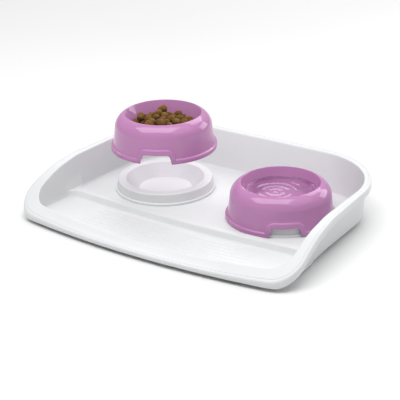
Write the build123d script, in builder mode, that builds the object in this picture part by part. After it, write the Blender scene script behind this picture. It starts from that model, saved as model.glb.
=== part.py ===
from build123d import *
import os
from math import asin, cos, degrees, hypot, radians, sin

# Double pet bowl: a moulded tray with two round seats and two lift-off bowls.
# Millimetres. X runs along the tray, -Y is the low front lip, +Z is up.
# The origin is on the ground under the middle of the tray.

# Shell of the tray
wall = 2.6
foot_proud = 1.5
strip_drop = 4.0
rim_rise = 47.5
base_edge_radius = 4.5

# Outer edge of the rim, seen from above
tray_depth = 314.0
rim_half_front = 208.0
rim_half_back = 187.4
rim_front_bow = 18.5
rim_back_bow = 3.0
rim_front_radius = 35.0
rim_back_radius = 110.0

# Inside of the basin at the height of the high rim
mouth_half_front = 191.0
mouth_half_back = 182.7
mouth_front_land = 17.0
mouth_back_land = 10.5
mouth_front_bow = 15.0
mouth_back_bow = 2.5
mouth_front_radius = 28.0
mouth_back_radius = 100.0

# Inside of the basin at the rear floor
floor_half_front = 188.2
floor_half_back = 178.0
floor_front_land = 18.5
floor_back_land = 36.0
floor_front_bow = 15.0
floor_back_bow = 0.6
floor_front_radius = 24.0
floor_back_radius = 62.0

# Fall of the rim from the high back to the low front lip, seen from the side
crown_radius = 182.0
fall_angle = 31.0
lip_radius = 40.0
lip_rise = 2.4

# Turned-down edge of the rim and the fine groove beside it
skirt_height = 10.0
skirt_clearance = 4.6
groove_inset = 3.0
groove_width = 1.2
groove_depth = 0.6

# Dam between the rear floor and the front strip
dam_rise = 4.0
dam_top = 9.0
dam_slope = 4.4
dam_to_front = 100.4
dam_foot_radius = 1830.0
recess_corner_radius = 15.0
trough_chamfer = 12.0
trough_edge_radius = 2.5

# Ribs on the front strip
rib_count = 7
rib_pitch = 7.9
rib_width = 3.6
rib_rise = 0.6
rib_half_length = 126.0
rib_to_lip = 18.0

# Round seats for the bowls
seat_spacing = 179.7
seat_to_back = 127.0
seat_rise = 15.6
seat_top_radius = 63.2
seat_base_radius = 64.4
seat_mouth_radius = 52.0
seat_dish_radius = 35.0
seat_flange_rise = 3.2
seat_flange_width = 2.2
seat_edge_radius = 2.0

# Bowls
bowl_wall = 2.2
bowl_height = 47.4
bowl_clearance = 1.2
bowl_rest_gap = 0.1
band_height = 5.5
band_step = 2.8
body_shoulder_radius = 63.9
body_shoulder_height = 32.5
shoulder_mid_radius = 59.6
shoulder_mid_height = 41.0
cup_mouth_radius = 50.3
cup_lip_depth = 3.4
cup_floor_radius = 33.5
cup_floor_height = 6.5
cup_corner_radius = 7.0
cup_lip_radius = 0.9
band_edge_radius = 0.9
food_bowl_lift = 58.5

# Finger notches in the bowls' skirts
notch_bottom_width = 41.0
notch_top_width = 35.0
notch_height = 12.0
notch_corner_radius = 4.5
notch_frame_width = 6.5
food_bowl_turn = 27.0
water_bowl_turn = 36.5

# Rubber feet
foot_radius = 9.0
foot_boss_margin = 2.0
foot_side_setback = 33.0
foot_front_setback = 57.0
foot_back_setback = 62.0

# Places that follow from the sizes above
shell_bottom = foot_proud
strip_top = shell_bottom + wall
floor_top = strip_top + strip_drop
rear_bottom = floor_top - wall
rim_top = floor_top + rim_rise
lip_top = floor_top + lip_rise
front_edge = -tray_depth / 2
back_edge = tray_depth / 2
seat_y = back_edge - seat_to_back
flange_radius = seat_base_radius + seat_flange_width
band_radius = flange_radius + bowl_clearance + bowl_wall
body_base_radius = band_radius - band_step
foot_x = floor_half_back - foot_side_setback
foot_front_y = front_edge + foot_front_setback
foot_back_y = back_edge - foot_back_setback

# Straight part and whole run of the rim's fall
fall_turn = radians(fall_angle)
fall_arcs = crown_radius + lip_radius
fall_straight = (rim_top - lip_top - fall_arcs * (1 - cos(fall_turn))) / sin(fall_turn)
fall_run = fall_arcs * sin(fall_turn) + fall_straight * cos(fall_turn)

# Centres of the bowed dam and of the bowed front, far behind the tray
dam_crest = floor_top + dam_rise
dam_lean = dam_slope / (dam_crest - strip_top)
dam_centre = front_edge + dam_to_front - dam_slope + dam_foot_radius
front_radius = (rim_half_front**2 + rim_front_bow**2) / (2 * rim_front_bow)
front_centre = front_edge + front_radius
rib_first_radius = front_radius - mouth_front_land - rib_to_lip
rib_half_turn = degrees(asin(rib_half_length / rib_first_radius))
rib_side = radians(rib_half_turn)
rib_plane = Plane(
    (0, front_centre, strip_top),
    x_dir=(-sin(rib_side), -cos(rib_side), 0),
    z_dir=(-cos(rib_side), sin(rib_side), 0),
)

# Slanted walls of the seat's dish and of the bowl's cup, measured level
dish_lean = (seat_mouth_radius - seat_dish_radius) / seat_rise
dish_wall_run = wall * hypot(1, dish_lean)
cup_lean = (cup_mouth_radius - cup_floor_radius) / (bowl_height - cup_floor_height)
cup_wall_run = bowl_wall * hypot(1, cup_lean)
cup_outer_radius = cup_floor_radius + cup_wall_run - cup_lean * bowl_wall

# How far the tools that cut through a piece reach past it
past = 20.0


def plan(level, half_front, half_back, front, back, front_bow, back_bow, front_corner, back_corner):
    """Rounded outline of the tray at one height: bowed front and back, straight tapering sides."""
    with BuildSketch(Plane.XY.offset(level)) as outline:
        with BuildLine():
            Line((half_front, front + front_bow), (half_back, back - back_bow))
            ThreePointArc((half_back, back - back_bow), (0, back), (-half_back, back - back_bow))
            Line((-half_back, back - back_bow), (-half_front, front + front_bow))
            ThreePointArc((-half_front, front + front_bow), (0, front), (half_front, front + front_bow))
        make_face()
        fillet(outline.vertices().sort_by(Axis.Y)[:2], front_corner)
        fillet(outline.vertices().sort_by(Axis.Y)[-2:], back_corner)
    return outline.sketch


def rim_plan(level, inset):
    """Outer edge of the rim, drawn in by an even inset."""
    return plan(
        level,
        rim_half_front - inset,
        rim_half_back - inset,
        front_edge + inset,
        back_edge - inset,
        rim_front_bow,
        rim_back_bow,
        rim_front_radius - inset,
        rim_back_radius - inset,
    )


def basin_plan(level, outset):
    """Section of the flared basin at a height, grown by an even outset."""
    share = (level - floor_top) / rim_rise

    def between(at_floor, at_rim):
        return at_floor + (at_rim - at_floor) * share

    return plan(
        level,
        between(floor_half_front, mouth_half_front) + outset,
        between(floor_half_back, mouth_half_back) + outset,
        front_edge + between(floor_front_land, mouth_front_land) - outset,
        back_edge - between(floor_back_land, mouth_back_land) + outset,
        between(floor_front_bow, mouth_front_bow),
        between(floor_back_bow, mouth_back_bow),
        between(floor_front_radius, mouth_front_radius) + outset,
        between(floor_back_radius, mouth_back_radius) + outset,
    )


def basin(bottom, top, outset):
    """Flared body between two heights."""
    with BuildPart() as body:
        add(basin_plan(bottom, outset))
        add(basin_plan(top, outset))
        loft(ruled=True)
    return body.part


def below_rim(drop):
    """Everything under the falling line of the rim, lowered by a drop."""
    with BuildPart() as body:
        with BuildSketch(Plane.YZ):
            with BuildLine():
                high = Line((back_edge + past, rim_top - drop), (front_edge + fall_run, rim_top - drop))
                crown = JernArc(high @ 1, high % 1, crown_radius, fall_angle)
                slope = PolarLine(crown @ 1, fall_straight, direction=crown % 1)
                hollow = JernArc(slope @ 1, slope % 1, lip_radius, -fall_angle)
                low = Line(hollow @ 1, (front_edge - past, lip_top - drop))
                Polyline(low @ 1, (front_edge - past, -past), (back_edge + past, -past), high @ 0)
            make_face()
        extrude(amount=rim_half_front + past, both=True)
    return body.part


def dam_front(level):
    """Radius of the dam's front face, which leans back as it rises."""
    return dam_foot_radius - dam_lean * (level - strip_top)


def dam_rear(level):
    """Radius of the dam's rear face, which leans forward as it rises."""
    return dam_front(dam_crest) - dam_top - dam_lean * (dam_crest - level)


# Hollow under the plate of the rim, which leaves the plate and its turned-down edge
with BuildPart() as rim_hollow:
    extrude(rim_plan(-past, wall), amount=rim_top + past)
    add(below_rim(wall), mode=Mode.INTERSECT)

# Fine groove that sets a bead apart along the outer edge of the rim
with BuildPart() as rim_groove:
    extrude(rim_plan(0, groove_inset), amount=rim_top + past)
    extrude(rim_plan(0, groove_inset + groove_width), amount=rim_top + past, mode=Mode.SUBTRACT)
    add(below_rim(groove_depth), mode=Mode.SUBTRACT)

# Outside of the basin, whose rear part stands clear of the ground behind the trough of the front strip
with BuildPart() as basin_outside:
    add(basin(shell_bottom, rim_top, wall))
    with Locations((0, dam_centre, rear_bottom)):
        Cylinder(
            dam_front(dam_crest),
            past,
            align=(Align.CENTER, Align.CENTER, Align.MAX),
            mode=Mode.SUBTRACT,
        )
    trough_corners = [
        edge
        for edge in basin_outside.edges()
        if {round(vertex.Z, 3) for vertex in edge.vertices()} == {round(shell_bottom, 3), round(rear_bottom, 3)}
    ]
    chamfer(trough_corners, trough_chamfer)
    trough_base = basin_outside.faces().filter_by(Axis.Z).sort_by(Axis.Z)[0]
    fillet(trough_base.outer_wire().edges().sort_by(Axis.Y)[:-3], trough_edge_radius)
    rear_base = basin_outside.faces().filter_by(Axis.Z).sort_by(Axis.Z)[1]
    fillet(rear_base.outer_wire().edges().sort_by(Axis.Y)[3:], base_edge_radius)

# Ground of the rear floor with a low bowed dam along its front
with BuildPart() as rear_ground:
    with Locations((0, dam_centre, dam_crest)):
        Cone(
            dam_front(dam_crest - past),
            dam_front(dam_crest),
            past,
            align=(Align.CENTER, Align.CENTER, Align.MAX),
        )
    with Locations((0, dam_centre, floor_top)):
        Cone(
            dam_rear(floor_top),
            dam_rear(floor_top + past),
            past,
            align=(Align.CENTER, Align.CENTER, Align.MIN),
            mode=Mode.SUBTRACT,
        )

# Space inside the basin, deepest over the front strip, whose rear corners are rounded
with BuildPart() as basin_inside:
    add(basin(strip_top, rim_top + wall, 0))
    add(rear_ground.part, mode=Mode.SUBTRACT)
    recess_corners = [
        edge
        for edge in basin_inside.edges()
        if {round(vertex.Z, 3) for vertex in edge.vertices()} == {round(strip_top, 3), round(dam_crest, 3)}
    ]
    fillet(recess_corners, recess_corner_radius)

with BuildPart() as tray:
    # Rim with its turned-down edge and the basin that hangs from it
    extrude(rim_plan(shell_bottom, 0), amount=rim_top - shell_bottom)
    add(rim_hollow.part, mode=Mode.SUBTRACT)
    add(below_rim(skirt_height), mode=Mode.SUBTRACT)
    with Locations((0, 0, skirt_clearance)):
        Box(
            2 * (rim_half_front + past),
            tray_depth + past,
            past,
            align=(Align.CENTER, Align.CENTER, Align.MAX),
            mode=Mode.SUBTRACT,
        )
    add(basin_outside.part)
    add(below_rim(0), mode=Mode.INTERSECT)
    add(basin_inside.part, mode=Mode.SUBTRACT)
    add(rim_groove.part, mode=Mode.SUBTRACT)

    # Ribs that follow the bow of the front lip
    with BuildSketch(rib_plane):
        for rib in range(rib_count):
            place = rib_first_radius - rib * rib_pitch
            with BuildLine():
                crest = ThreePointArc(
                    (place - rib_width / 2, 0),
                    (place, rib_rise),
                    (place + rib_width / 2, 0),
                )
                Polyline(crest @ 1, (place + rib_width / 2, -wall / 2), (place - rib_width / 2, -wall / 2), crest @ 0)
            make_face()
    revolve(axis=Axis((0, front_centre, 0), (0, 0, 1)), revolution_arc=2 * rib_half_turn)

    # Ring seats, hollow from below, each round a shallow dish
    for side in (-1, 1):
        seat_axis = Axis((side * seat_spacing / 2, seat_y, 0), (0, 0, 1))
        seat_plane = Plane((side * seat_spacing / 2, seat_y, floor_top), x_dir=(1, 0, 0), z_dir=(0, -1, 0))
        with BuildSketch(seat_plane) as ring:
            with BuildLine():
                Polyline(
                    (seat_dish_radius, 0),
                    (seat_mouth_radius, seat_rise),
                    (seat_top_radius, seat_rise),
                    (seat_base_radius, seat_flange_rise),
                    (flange_radius, seat_flange_rise),
                    (flange_radius, -wall / 2),
                    (seat_dish_radius, -wall / 2),
                    close=True,
                )
            make_face()
            fillet(ring.vertices().sort_by(Axis.Y)[-2:], seat_edge_radius)
        revolve(axis=seat_axis)
        with BuildSketch(seat_plane):
            with BuildLine():
                Polyline(
                    (seat_dish_radius + dish_wall_run, -2 * wall),
                    (seat_dish_radius + dish_wall_run, -wall),
                    (seat_mouth_radius + dish_wall_run - dish_lean * wall, seat_rise - wall),
                    (seat_top_radius - wall, seat_rise - wall),
                    (seat_base_radius - wall, -2 * wall),
                    close=True,
                )
            make_face()
        revolve(axis=seat_axis, mode=Mode.SUBTRACT)

    # Bosses that carry the back feet
    with Locations((-foot_x, foot_back_y, shell_bottom), (foot_x, foot_back_y, shell_bottom)):
        Cylinder(
            foot_radius + foot_boss_margin,
            floor_top - wall / 2 - shell_bottom,
            align=(Align.CENTER, Align.CENTER, Align.MIN),
        )

tray.part.label = "tray"


def notch_outline(plane, outset):
    """Finger notch seen from the front, open below, with rounded upper corners, grown by an even outset."""
    with BuildSketch(plane) as face:
        with BuildLine():
            Polyline(
                (-notch_bottom_width / 2 - outset, -outset),
                (notch_bottom_width / 2 + outset, -outset),
                (notch_top_width / 2 + outset, notch_height + outset),
                (-notch_top_width / 2 - outset, notch_height + outset),
                close=True,
            )
        make_face()
        fillet(face.vertices().sort_by(Axis.Y)[-2:], notch_corner_radius + outset)
    return face.sketch


def make_bowl(label, centre_x, lift, turn):
    """One bowl: a cup hung inside a hollow skirt, with two framed finger notches, turned on its seat."""
    base = floor_top + bowl_rest_gap + lift
    bowl_axis = Axis((centre_x, seat_y, 0), (0, 0, 1))
    section_plane = Plane((centre_x, seat_y, base), x_dir=(1, 0, 0), z_dir=(0, -1, 0))
    facing = (sin(radians(turn)), -cos(radians(turn)), 0)
    notch_plane = Plane((centre_x, seat_y, base), x_dir=(cos(radians(turn)), sin(radians(turn)), 0), z_dir=facing)

    # Raised frames round the notches, as high as the band at the foot of the skirt
    with BuildPart() as frames:
        extrude(notch_outline(notch_plane, notch_frame_width), amount=band_radius + past, both=True)
        with BuildSketch(section_plane):
            with Locations((body_shoulder_radius, 0)):
                Rectangle(
                    band_radius - body_shoulder_radius,
                    notch_height + notch_frame_width + past,
                    align=(Align.MIN, Align.MIN),
                )
        revolve(axis=bowl_axis, mode=Mode.INTERSECT)

    with BuildPart() as bowl:
        # Outside, from the band up over the shoulder and down into the cup
        with BuildSketch(section_plane) as outside:
            with BuildLine():
                foot = Polyline(
                    (0, 0),
                    (band_radius, 0),
                    (band_radius, band_height),
                    (body_base_radius, band_height + band_step / 3),
                    (body_shoulder_radius, body_shoulder_height),
                )
                shoulder = ThreePointArc(
                    foot @ 1,
                    (shoulder_mid_radius, shoulder_mid_height),
                    (cup_mouth_radius, bowl_height),
                )
                Polyline(
                    shoulder @ 1,
                    (cup_floor_radius, cup_floor_height),
                    (0, cup_floor_height),
                    (0, 0),
                )
            make_face()
            fillet(outside.vertices().sort_by_distance((cup_floor_radius, cup_floor_height))[0], cup_corner_radius)
            fillet(outside.vertices().sort_by_distance((cup_mouth_radius, bowl_height))[0], cup_lip_radius)
            fillet(outside.vertices().sort_by_distance((band_radius, band_height))[0], band_edge_radius)
        revolve(axis=bowl_axis)
        add(frames.part)

        # Hollow between the skirt and the cup, open below
        with BuildSketch(section_plane) as inside:
            with BuildLine():
                Polyline(
                    (0, -bowl_wall),
                    (band_radius - bowl_wall, -bowl_wall),
                    (band_radius - bowl_wall, band_height - bowl_wall),
                    (body_base_radius - bowl_wall, band_height),
                    (body_shoulder_radius - bowl_wall, body_shoulder_height),
                    (shoulder_mid_radius - bowl_wall, shoulder_mid_height - bowl_wall / 2),
                    (cup_mouth_radius + cup_wall_run - cup_lean * cup_lip_depth, bowl_height - cup_lip_depth),
                    (cup_outer_radius, cup_floor_height - bowl_wall),
                    (0, cup_floor_height - bowl_wall),
                    close=True,
                )
            make_face()
            cup_corner = inside.vertices().sort_by_distance((cup_outer_radius, cup_floor_height - bowl_wall))[0]
            fillet(cup_corner, cup_corner_radius + bowl_wall)
        revolve(axis=bowl_axis, mode=Mode.SUBTRACT)

        # Finger notches, front and back, through the skirt alone
        for way in (1, -1):
            inside_skirt = notch_plane.offset(way * (seat_top_radius - past))
            extrude(notch_outline(inside_skirt, 0), amount=way * 2 * past, mode=Mode.SUBTRACT)

    bowl.part.label = label
    return bowl.part


def make_foot(label, x, y):
    """Thin round pad stuck flat under the shell."""
    with BuildPart() as foot:
        with BuildSketch(Plane((x, y, 0))):
            Circle(foot_radius)
        extrude(amount=foot_proud)
    foot.part.label = label
    return foot.part


pieces = [
    tray.part,
    make_bowl("food_bowl", -seat_spacing / 2, food_bowl_lift, food_bowl_turn),
    make_bowl("water_bowl", seat_spacing / 2, 0, water_bowl_turn),
    make_foot("foot_front_left", -foot_x, foot_front_y),
    make_foot("foot_front_right", foot_x, foot_front_y),
    make_foot("foot_back_left", -foot_x, foot_back_y),
    make_foot("foot_back_right", foot_x, foot_back_y),
]

os.makedirs("parts", exist_ok=True)
for piece in pieces:
    export_step(piece, f"parts/{piece.label}.step")
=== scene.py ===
import math
from collections import namedtuple

import bmesh
import bpy
import numpy as np
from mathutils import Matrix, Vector
from mathutils.geometry import tessellate_polygon


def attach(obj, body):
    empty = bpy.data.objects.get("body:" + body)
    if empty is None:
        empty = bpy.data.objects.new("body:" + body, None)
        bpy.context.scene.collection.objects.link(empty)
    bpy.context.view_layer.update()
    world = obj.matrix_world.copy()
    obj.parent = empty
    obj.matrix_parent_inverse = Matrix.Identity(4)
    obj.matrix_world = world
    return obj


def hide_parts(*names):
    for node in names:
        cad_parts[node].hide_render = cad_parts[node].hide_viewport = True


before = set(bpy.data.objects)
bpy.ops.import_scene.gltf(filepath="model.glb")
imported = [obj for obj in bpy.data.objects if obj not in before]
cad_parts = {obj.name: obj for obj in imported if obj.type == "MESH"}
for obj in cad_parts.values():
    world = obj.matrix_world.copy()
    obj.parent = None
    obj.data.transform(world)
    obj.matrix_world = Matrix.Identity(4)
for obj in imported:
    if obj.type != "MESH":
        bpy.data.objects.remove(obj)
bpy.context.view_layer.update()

MM = 0.001
FULL_TURN = 2 * math.pi
QUARTER_TURN = math.pi / 2

# Camera of the photograph: its turn about the upright, its rise and roll, its place in millimetres, and the
# near and far ends of its view in metres
CAMERA_TURN = math.radians(35.08)
CAMERA_RISE = math.radians(23.43)
CAMERA_ROLL = math.radians(-1.29)
CAMERA_FOCAL_PIXELS = 1268.8
CAMERA_ASIDE = -27.98
CAMERA_UP = 0.93
CAMERA_AWAY = 1652.61
CAMERA_AIM = (0.0, 30.0, 8.1)
CAMERA_NEAR = 0.05
CAMERA_FAR = 40.0
FRAME_PIXELS = 400
SENSOR = 36.0
UPRIGHT = np.array([0.0, 0.0, 1.0])
TOWARDS_CAMERA = np.array([math.sin(CAMERA_TURN), -math.cos(CAMERA_TURN), 0.0])
ACROSS_CAMERA = np.cross(UPRIGHT, TOWARDS_CAMERA)

# Lengths below are in millimetres, and a pair is a radius and a height where no comment says otherwise

# Studio floor, just below the tray's feet
STUDIO_REACH = 6000
STUDIO_LEVEL = -0.05

# Bowls: where they stand, then their sizes, measured from the middle of the foot
SEAT_X = 89.85
SEAT_Y = 30.0
FLOOR_TOP = 8.1
REST_GAP = 0.1
FOOD_LIFT = 58.5
WATER_BASE = FLOOR_TOP + REST_GAP
FOOD_BASE = FLOOR_TOP + REST_GAP + FOOD_LIFT
FOOD_TURN = math.radians(27.0)
WATER_TURN = math.radians(36.5)
BAND_RADIUS = 70.0
BAND_HEIGHT = 5.5
BAND_STEP = 2.8
BOWL_WALL = 2.2
BOWL_HEIGHT = 47.4
BODY_BASE = BAND_RADIUS - BAND_STEP
SHOULDER = (63.9, 32.5)
SHOULDER_MID = (59.6, 41.0)
CUP_MOUTH = 50.3
CUP_LIP_DEPTH = 3.4
CUP_LIP_ROUND = 0.9
CUP_FLOOR = (33.5, 6.5)
CUP_LEAN = (CUP_MOUTH - CUP_FLOOR[0]) / (BOWL_HEIGHT - CUP_FLOOR[1])
CUP_CORNER = 7.0
CUP_FLOOR_RINGS = (12.0, 22.0)
UNDER_CUP_RING = 14.0
NOTCH_BOTTOM = 20.5
NOTCH_TOP = 17.5
NOTCH_HEIGHT = 12.0
NOTCH_CORNER = 4.5
NOTCH_FRAME = 6.5
LEDGE_FALL = 0.35
FRAME_LEAN = 0.2

# Angles round a bowl, in degrees: the common step, and a finer one beside the steep sides of the notches
BOWL_STEP = 2.5
NOTCH_STEP = 0.25
NOTCH_SIDES = (11, 25)

# Rows of a bowl's skirt: its end over the ledge and shares of the way down, slide and rise along the ledge,
# inset and drop of the band's upper edge, inset and rise of its foot, and rises in the hollow
SKIRT_END = 0.7
SKIRT_SHARES = (0, 0.01, 0.05, 0.2, 0.4, 0.6, 0.8)
LEDGE_ROWS = ((0.0, 0.3), (0.1, 0.05), (0.3, -0.06), (0.78, -0.24))
BAND_EDGE_ROWS = ((0.34, 0.02), (0.1, 0.17), (0.0, 0.5))
BAND_FOOT_ROWS = ((0.0, 0.6), (0.18, 0.18), (0.6, 0.0), (BOWL_WALL - 0.3, 0.0), (BOWL_WALL, 0.3))
HOLLOW_RISES = (0.05, 0.1)

# Dry food, above the middle of a bowl's foot
PELLET_COUNT = 170
PELLET_SEED = 12
PELLET_SPACING = 10.9
PELLET_RADIUS = 6.5
PELLET_NARROWING = 0.94
PELLET_THICK = 9.8
PELLET_SIDES = 10
PELLET_ROWS = 4
PELLET_SIZES = (0.9, 1.12)
PELLET_CLEARANCE = 0.1
PELLET_FULLNESS = 0.75
PELLET_FLATNESS = 0.9
PELLET_TILT = 0.55
WIDE_LUMPS = 0.08
FINE_LUMPS = 0.075
PROUD_PELLET = (-17.9, 23.2, 40.3)
HEAP_REACH = 34.0
HEAP_HEIGHTS = (11, 70)
SETTLE_STEPS = 500
SETTLE_PUSH = 0.3
SETTLE_SINK = 0.22
SETTLE_DRAW = 0.9994

# Painted shade between the pellets: its reach, the share that a neighbour beside gives, and its start and
# strength
SHADE_REACH = 6.0
SHADE_BESIDE = 0.3
SHADE_START = 1.1
SHADE_STRENGTH = 0.95

# Water, above the middle of a bowl's foot
WATER_LEVEL = 34.7
WATER_SINK = 0.4
MENISCUS = 1.3
MENISCUS_WIDTH = 0.9
CALM_WIDTH = 5.0
RIPPLE_MIDDLE = (-4.0, -6.0)
RIPPLE_HEIGHT = 0.3
RIPPLE_LENGTH = 9.5
RIPPLE_FADE = 38.0
CROSS_HEIGHT = 0.3 * RIPPLE_HEIGHT

# Shell of the tray and the fall of its rim
WALL = 2.6
SHELL_BOTTOM = 1.5
STRIP_TOP = 4.1
REAR_BOTTOM = 5.5
RIM_RISE = 47.5
RIM_TOP = FLOOR_TOP + RIM_RISE
LIP_TOP = 10.5
FRONT_EDGE = -157.0
BACK_EDGE = 157.0
CROWN_RADIUS = 182.0
FALL = math.radians(31.0)
LIP_RADIUS = 40.0
BASE_ROUND = 4.5

# Outlines seen from above: the rim's outer edge, and the basin at the rear floor and at the high rim
Outline = namedtuple(
    "Outline", "half_front half_back front back front_bow back_bow front_round back_round",
)
RIM = Outline(208.0, 187.4, FRONT_EDGE, BACK_EDGE, 18.5, 3.0, 35.0, 110.0)
BASIN_FLOOR = Outline(188.2, 178.0, FRONT_EDGE + 18.5, BACK_EDGE - 36.0, 15.0, 0.6, 24.0, 62.0)
BASIN_MOUTH = Outline(191.0, 182.7, FRONT_EDGE + 17.0, BACK_EDGE - 10.5, 15.0, 2.5, 28.0, 100.0)

# Rounded mouth of the basin, then the rim's edge: inset and drop over its groove and bead, and inset and
# rise round the foot of the turned-down edge
MOUTH_DROP = 2.0
MOUTH_RUN = 2.2
SKIRT_HEIGHT = 10.0
SKIRT_CLEARANCE = 4.6
GROOVE_INSET = 3.0
GROOVE_WIDTH = 1.2
GROOVE_DEPTH = 0.6
GROOVE_ROWS = ((3.95, 0.42), (3.6, GROOVE_DEPTH), (3.25, 0.42), (GROOVE_INSET, 0.0))
BEAD_ROWS = ((2.4, 0.0), (1.6, 0.12), (0.9, 0.42), (0.35, 0.98), (0.06, 1.75), (0.0, 2.6))
EDGE_FOOT_ROWS = ((0.0, 0.9), (0.25, 0.25), (0.9, 0.0), (1.7, 0.0), (2.35, 0.25), (WALL, 0.9))

# Dam between the rear floor and the front strip: its crest's height, radii about a centre far behind the
# tray, radius and steps of the rounds at its crest and foot, and the rounds of the corners and walls there
DAM_CREST = 12.1
DAM_CENTRE = 1769.0
DAM_FOOT = 1830.0
DAM_FRONT = 1825.6
DAM_REAR = 1816.6
DAM_REAR_FOOT = 1814.4
DAM_BELOW_MOUTH = 3.0
DAM_RUN = 6.0
DAM_FRONT_ROUNDS = ((2.5, 6), (3.0, 7))
DAM_REAR_ROUNDS = ((2.0, 5), (2.0, 8))
STRIP_CORNER = 15.0
STRIP_WALL_ROUND = 3.0
REAR_CORNER = 9.0
REAR_WALL_ROUND = 3.9
TROUGH_CORNER = 12.0
TROUGH_ROUND = 2.5

# Ribs on the front strip, about the centre of the front's bow; their top edge is a share of the half width
RIB_CENTRE = 1021.55
RIB_FIRST = 1143.55
RIB_COUNT = 7
RIB_PITCH = 7.9
RIB_HALF_WIDTH = 1.8
RIB_TOP_EDGE = 0.99
RIB_RISE = 0.6
RIB_STEP = 0.06
RIB_HALF_LENGTH = 126.0
RIB_SINK = 8.0

# Ring seats from the flange in to the dish, the radius and steps of each corner's round, and the hollows
SEAT_CORNERS = (
    (66.6, FLOOR_TOP), (66.6, 11.3), (64.4, 11.3), (63.2, 23.7), (52.0, 23.7),
    (35.0, FLOOR_TOP), (0.0, FLOOR_TOP),
)
SEAT_ROUNDS = ((0.9, 5), (0.7, 4), (2.0, 7), (2.5, 7), (3.0, 6))
DISH_INNER = (16.0, FLOOR_TOP)
HOLLOW_PROFILE = (
    (61.63, REAR_BOTTOM), (60.6, 21.1), (53.01, 21.1), (38.85, REAR_BOTTOM), (15.0, REAR_BOTTOM),
)

# Feet: their places, the bosses of the back ones, the pads, the radius and steps of their rounds, and inset
# and depth across a ring in a sole
FOOT_X = 145.0
FOOT_FRONT_Y = -100.0
FOOT_BACK_Y = 95.0
BOSS_PROFILE = ((11.0, REAR_BOTTOM), (11.0, SHELL_BOTTOM), (4.0, SHELL_BOTTOM))
PAD_RADIUS = 9.0
PAD_INNER = 4.0
PAD_ROUNDS = ((0.2, 4), (0.5, 6))
PAD_RINGS = (7.2, 4.4)
PAD_RING_ROWS = ((0.0, 0.0), (0.2, 0.25), (0.8, 0.25), (1.0, 0.0))

# How many points each stretch of half an outline has, from the back's middle round to the front's
BACK_BOW = 30
BACK_ROUND = 32
SIDE_REAR = 30
SIDE_FRONT = 18
FRONT_ROUND = 22
FRONT_BOW = 44
REAR_PART = BACK_BOW + BACK_ROUND + SIDE_REAR
DAM_BOW = 46
DAM_ROUND = 12

# How many rows the mouth, the land, the rim's underside and a quarter round at a wall's foot have
MOUTH_STEPS = 7
LAND_STEPS = 6
UNDER_STEPS = 4
ROUND_STEPS = 6

# Steps round the upright axis, in degrees
SEAT_STEP = 3.0
BOSS_STEP = 10.0
PAD_STEP = 7.5
WATER_STEP = 3.0

# Shares along a basin's side for the stretch that an outline doesn't keep
SPARE_REAR = 0.9
SPARE_FRONT = 0.1


def put_mesh(name, points, faces, smooth_angle=None):
    """A mesh piece at the origin from an array of points in millimetres and a list of faces."""
    mesh = bpy.data.meshes.new(name)
    mesh.from_pydata((np.asarray(points, float) * MM).tolist(), [], faces)
    mesh.validate()
    mesh.shade_smooth()
    if smooth_angle is not None:
        mesh.set_sharp_from_angle(angle=math.radians(smooth_angle))
    piece = bpy.data.objects.new(name, mesh)
    bpy.context.scene.collection.objects.link(piece)
    return piece


def grid_faces(rows, columns, closed=True, flip=False):
    """Quads between neighbouring rows of a grid whose columns may close into a ring."""
    row = np.arange(rows - 1)[:, None]
    column = np.arange(columns if closed else columns - 1)[None, :]
    here = row * columns + column
    beside = row * columns + (column + 1) % columns
    quads = np.stack([here, beside, beside + columns, here + columns], axis=-1).reshape(-1, 4)
    return (quads[:, ::-1] if flip else quads).tolist()


def pole_faces(pole, ring, flip=False):
    """Triangles from one pole to each neighbouring pair of a ring's points."""
    beside = np.roll(ring, -1)
    fan = np.stack([np.full(len(ring), pole), ring, beside], axis=-1)
    return (fan[:, ::-1] if flip else fan).tolist()


def stacked(rows, flip=False):
    """Points and faces of closed outlines joined row by row."""
    return np.vstack(rows), grid_faces(len(rows), len(rows[0]), flip=flip)


def capped(rows, pole, flip=False):
    """Points and faces of closed outlines joined row by row, with the last one drawn to a pole."""
    points, faces = stacked(rows, flip)
    ring = np.arange(len(points) - len(rows[0]), len(points))
    return np.vstack([points, [pole]]), faces + pole_faces(len(points), ring, flip)


def closed_skin(name, rows, first_pole, last_pole, smooth_angle):
    """A closed piece from rings of points joined row by row and drawn to a pole at either end."""
    points, faces = capped(rows, last_pole, flip=True)
    faces += pole_faces(len(points), np.arange(len(rows[0])))
    return put_mesh(name, np.vstack([points, [first_pole]]), faces, smooth_angle)


def welded(name, patches, smooth_angle):
    """One piece from patches of points and faces, with their shared borders merged and faces outwards."""
    starts = np.cumsum([0] + [len(points) for points, _ in patches])
    faces = [[start + k for k in face] for start, (_, some) in zip(starts, patches) for face in some]
    piece = put_mesh(name, np.vstack([points for points, _ in patches]), faces)
    work = bmesh.new()
    work.from_mesh(piece.data)
    bmesh.ops.remove_doubles(work, verts=work.verts, dist=2e-7)
    bmesh.ops.dissolve_degenerate(work, edges=work.edges, dist=1e-8)
    bmesh.ops.recalc_face_normals(work, faces=work.faces)
    work.to_mesh(piece.data)
    work.free()
    piece.data.set_sharp_from_angle(angle=math.radians(smooth_angle))
    return piece


def fill_flat(loops, up):
    """Triangles of a flat field inside the first loop and outside the others, facing up or down."""
    points = np.vstack(loops)
    corners = np.array(tessellate_polygon([[Vector(p) for p in loop] for loop in loops]))
    a, b, c = (points[corners[:, k], :2] for k in range(3))
    turn = (b - a)[:, 0] * (c - a)[:, 1] - (b - a)[:, 1] * (c - a)[:, 0]
    corners = np.where(((turn > 0) == up)[:, None], corners, corners[:, ::-1])
    return points, corners[np.abs(turn) > 1e-9].tolist()


def full_circle(step):
    """Angles of a full turn, a step in degrees apart."""
    return np.radians(np.arange(0, 360, step))


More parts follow.
